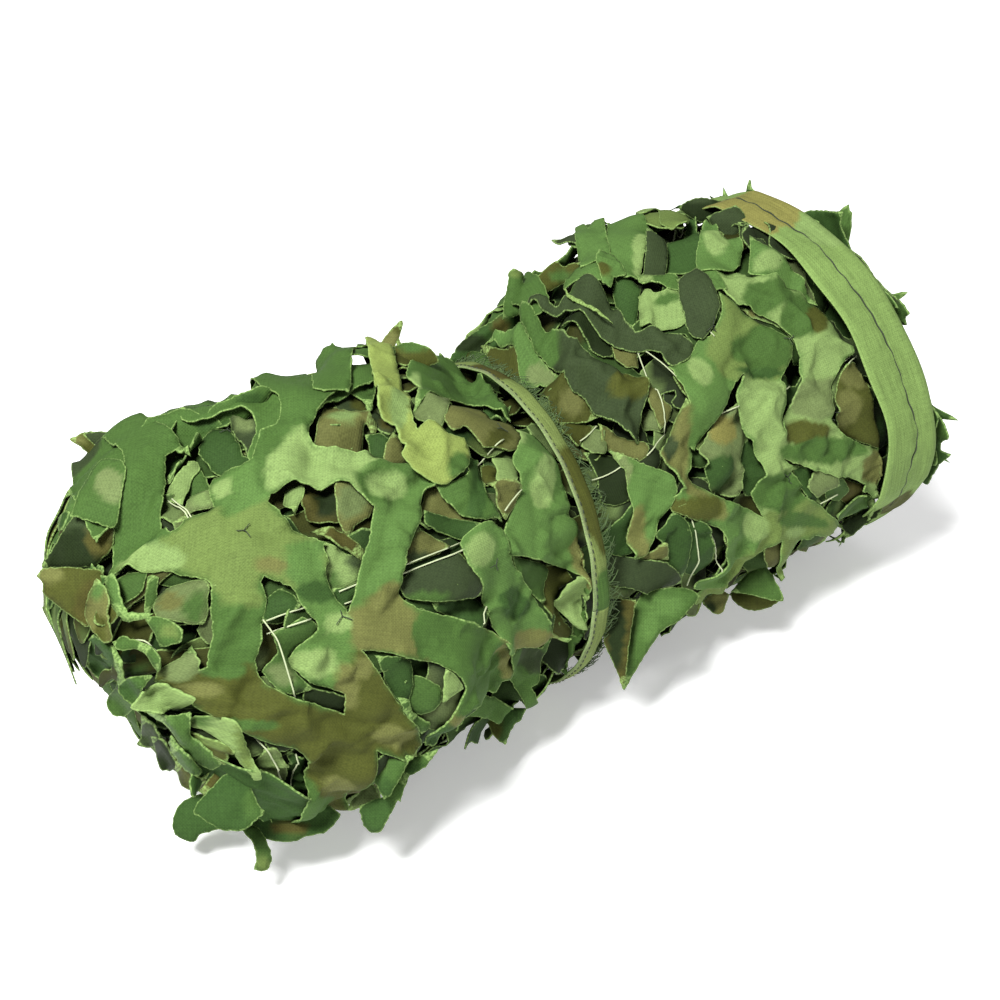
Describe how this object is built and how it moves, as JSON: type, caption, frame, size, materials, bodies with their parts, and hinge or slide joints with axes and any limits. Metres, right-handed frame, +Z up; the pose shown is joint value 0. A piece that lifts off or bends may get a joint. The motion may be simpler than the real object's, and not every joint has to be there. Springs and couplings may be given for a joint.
{
  "type": "rolled camouflage netting",
  "caption": "Bundle of leaf-cut camouflage net, rolled up and drawn in at the waist by a cloth tie, with a stitched edge binding round one end.",
  "frame": {"origin": "under the middle of the roll's box, on the surface that it lies on", "axes": "+X along the roll, towards the end with the edge binding; +Z up"},
  "size_m": [0.4987, 0.2491, 0.2209],
  "materials": {
    "net_cloth": "matt woven cloth in woodland greens, olive and dark grey-green",
    "binding_cloth": "matt woven cloth, light green with olive patches, one line of stitching",
    "tie_cloth": "matt cloth strip, olive green, frayed along one edge"
  },
  "bodies": {
    "root": {"net_roll": "net_cloth", "edge_binding": "binding_cloth", "tie_band": "tie_cloth"}
  },
  "joints": []
}
